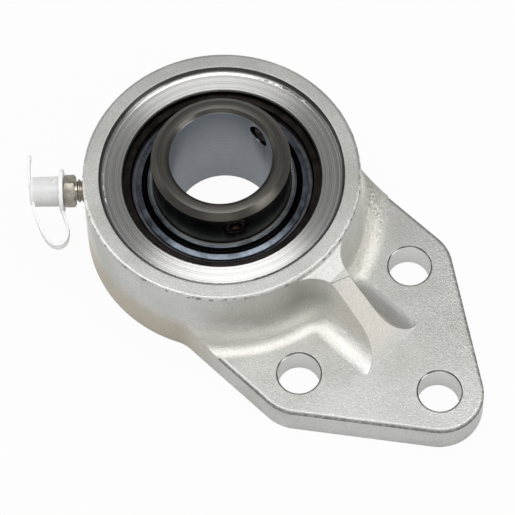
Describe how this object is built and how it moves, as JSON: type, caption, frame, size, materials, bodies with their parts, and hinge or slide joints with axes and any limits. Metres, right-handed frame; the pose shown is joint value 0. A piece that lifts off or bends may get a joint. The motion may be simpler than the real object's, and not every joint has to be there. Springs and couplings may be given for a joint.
{
  "type": "flange bearing",
  "caption": "Bracket flange bearing: cast housing with a ribbed flange on one side, self-aligning ball bearing insert with set screws, and a capped grease nipple.",
  "frame": {"origin": "centre of the bearing on the shaft axis, in the plane of the balls", "axes": "+Z along the shaft axis to the front, where the set screws are; +X along the bracket to its single bolt hole; the mounting face is at z = -16 mm and faces -Z"},
  "size_m": [0.1252, 0.0764, 0.0358],
  "materials": {
    "cast_steel": "shot-blasted stainless casting",
    "bearing_steel": "ground",
    "dark_steel": "ground, oiled",
    "cage_steel": "pressed sheet",
    "seal_rubber": "matte",
    "zinc_sheet": "zinc plated sheet",
    "screw_steel": "blackened",
    "nipple_steel": "turned",
    "cap_plastic": "translucent natural polyethylene"
  },
  "bodies": {
    "housing": {"housing": "cast_steel", "grease_nipple": "nipple_steel", "nipple_spring": "nipple_steel"},
    "lock_pin": {"lock_pin": "bearing_steel"},
    "outer_ring": {"outer_ring": "bearing_steel", "seal_shell_front": "cage_steel", "seal_shell_back": "cage_steel", "seal_lip_front": "seal_rubber", "seal_lip_back": "seal_rubber"},
    "inner_ring": {"inner_ring": "dark_steel", "flinger_front": "zinc_sheet", "flinger_back": "zinc_sheet"},
    "cage": {"cage_front": "cage_steel", "cage_back": "cage_steel", "cage_rivets": "cage_steel"},
    "set_screw_1": {"set_screw_1": "screw_steel"},
    "set_screw_2": {"set_screw_2": "screw_steel"},
    "nipple_cap": {"nipple_cap": "cap_plastic"},
    "nipple_ball": {"nipple_ball": "bearing_steel"},
    "ball_1": {"ball_1": "bearing_steel"},
    "ball_2": {"ball_2": "bearing_steel"},
    "ball_3": {"ball_3": "bearing_steel"},
    "ball_4": {"ball_4": "bearing_steel"},
    "ball_5": {"ball_5": "bearing_steel"},
    "ball_6": {"ball_6": "bearing_steel"},
    "ball_7": {"ball_7": "bearing_steel"},
    "ball_8": {"ball_8": "bearing_steel"},
    "ball_9": {"ball_9": "bearing_steel"}
  },
  "joints": [
    {"name": "tilt_x", "type": "hinge", "parent": "housing", "child": "lock_pin", "pos_m": [0, 0, 0], "axis": [1, 0, 0], "range_deg": [-2, 2]},
    {"name": "tilt_y", "type": "hinge", "parent": "lock_pin", "child": "outer_ring", "pos_m": [0, 0, 0], "axis": [0, 1, 0], "range_deg": [-2, 2]},
    {"name": "inner_spin", "type": "hinge", "parent": "outer_ring", "child": "inner_ring", "pos_m": [0, 0, 0], "axis": [0, 0, 1], "continuous": true},
    {"name": "cage_spin", "type": "hinge", "parent": "outer_ring", "child": "cage", "pos_m": [0, 0, 0], "axis": [0, 0, 1], "continuous": true},
    {"name": "ball_1_spin", "type": "hinge", "parent": "cage", "child": "ball_1", "pos_m": [0.0195, 0, 0], "axis": [0, 0, 1], "continuous": true},
    {"name": "ball_2_spin", "type": "hinge", "parent": "cage", "child": "ball_2", "pos_m": [0.01494, 0.01253, 0], "axis": [0, 0, 1], "continuous": true},
    {"name": "ball_3_spin", "type": "hinge", "parent": "cage", "child": "ball_3", "pos_m": [0.00339, 0.0192, 0], "axis": [0, 0, 1], "continuous": true},
    {"name": "ball_4_spin", "type": "hinge", "parent": "cage", "child": "ball_4", "pos_m": [-0.00975, 0.01689, 0], "axis": [0, 0, 1], "continuous": true},
    {"name": "ball_5_spin", "type": "hinge", "parent": "cage", "child": "ball_5", "pos_m": [-0.01832, 0.00667, 0], "axis": [0, 0, 1], "continuous": true},
    {"name": "ball_6_spin", "type": "hinge", "parent": "cage", "child": "ball_6", "pos_m": [-0.01832, -0.00667, 0], "axis": [0, 0, 1], "continuous": true},
    {"name": "ball_7_spin", "type": "hinge", "parent": "cage", "child": "ball_7", "pos_m": [-0.00975, -0.01689, 0], "axis": [0, 0, 1], "continuous": true},
    {"name": "ball_8_spin", "type": "hinge", "parent": "cage", "child": "ball_8", "pos_m": [0.00339, -0.0192, 0], "axis": [0, 0, 1], "continuous": true},
    {"name": "ball_9_spin", "type": "hinge", "parent": "cage", "child": "ball_9", "pos_m": [0.01494, -0.01253, 0], "axis": [0, 0, 1], "continuous": true},
    {"name": "set_screw_1_turn", "type": "slide", "parent": "inner_ring", "child": "set_screw_1", "axis": [-0.829, 0.5592, 0], "range_m": [-0.002, 0.0015]},
    {"name": "set_screw_2_turn", "type": "slide", "parent": "inner_ring", "child": "set_screw_2", "axis": [-0.0698, -0.9976, 0], "range_m": [-0.002, 0.0015]},
    {"name": "cap_pull", "type": "slide", "parent": "housing", "child": "nipple_cap", "axis": [-0.7071, -0.7071, 0], "range_m": [0, 0.012]},
    {"name": "check_ball_press", "type": "slide", "parent": "housing", "child": "nipple_ball", "axis": [0.7071, 0.7071, 0], "range_m": [0, 0.0012], "stiffness_N_per_m": 150, "springref_m": -0.002, "deforming": ["nipple_spring"]}
  ],
  "couplings": [
    {"joint": "cage_spin", "follows": "inner_spin", "ratio": 0.39823},
    {"joint": "ball_1_spin", "follows": "inner_spin", "ratio": -2.3548},
    {"joint": "ball_2_spin", "follows": "inner_spin", "ratio": -2.3548},
    {"joint": "ball_3_spin", "follows": "inner_spin", "ratio": -2.3548},
    {"joint": "ball_4_spin", "follows": "inner_spin", "ratio": -2.3548},
    {"joint": "ball_5_spin", "follows": "inner_spin", "ratio": -2.3548},
    {"joint": "ball_6_spin", "follows": "inner_spin", "ratio": -2.3548},
    {"joint": "ball_7_spin", "follows": "inner_spin", "ratio": -2.3548},
    {"joint": "ball_8_spin", "follows": "inner_spin", "ratio": -2.3548},
    {"joint": "ball_9_spin", "follows": "inner_spin", "ratio": -2.3548}
  ]
}
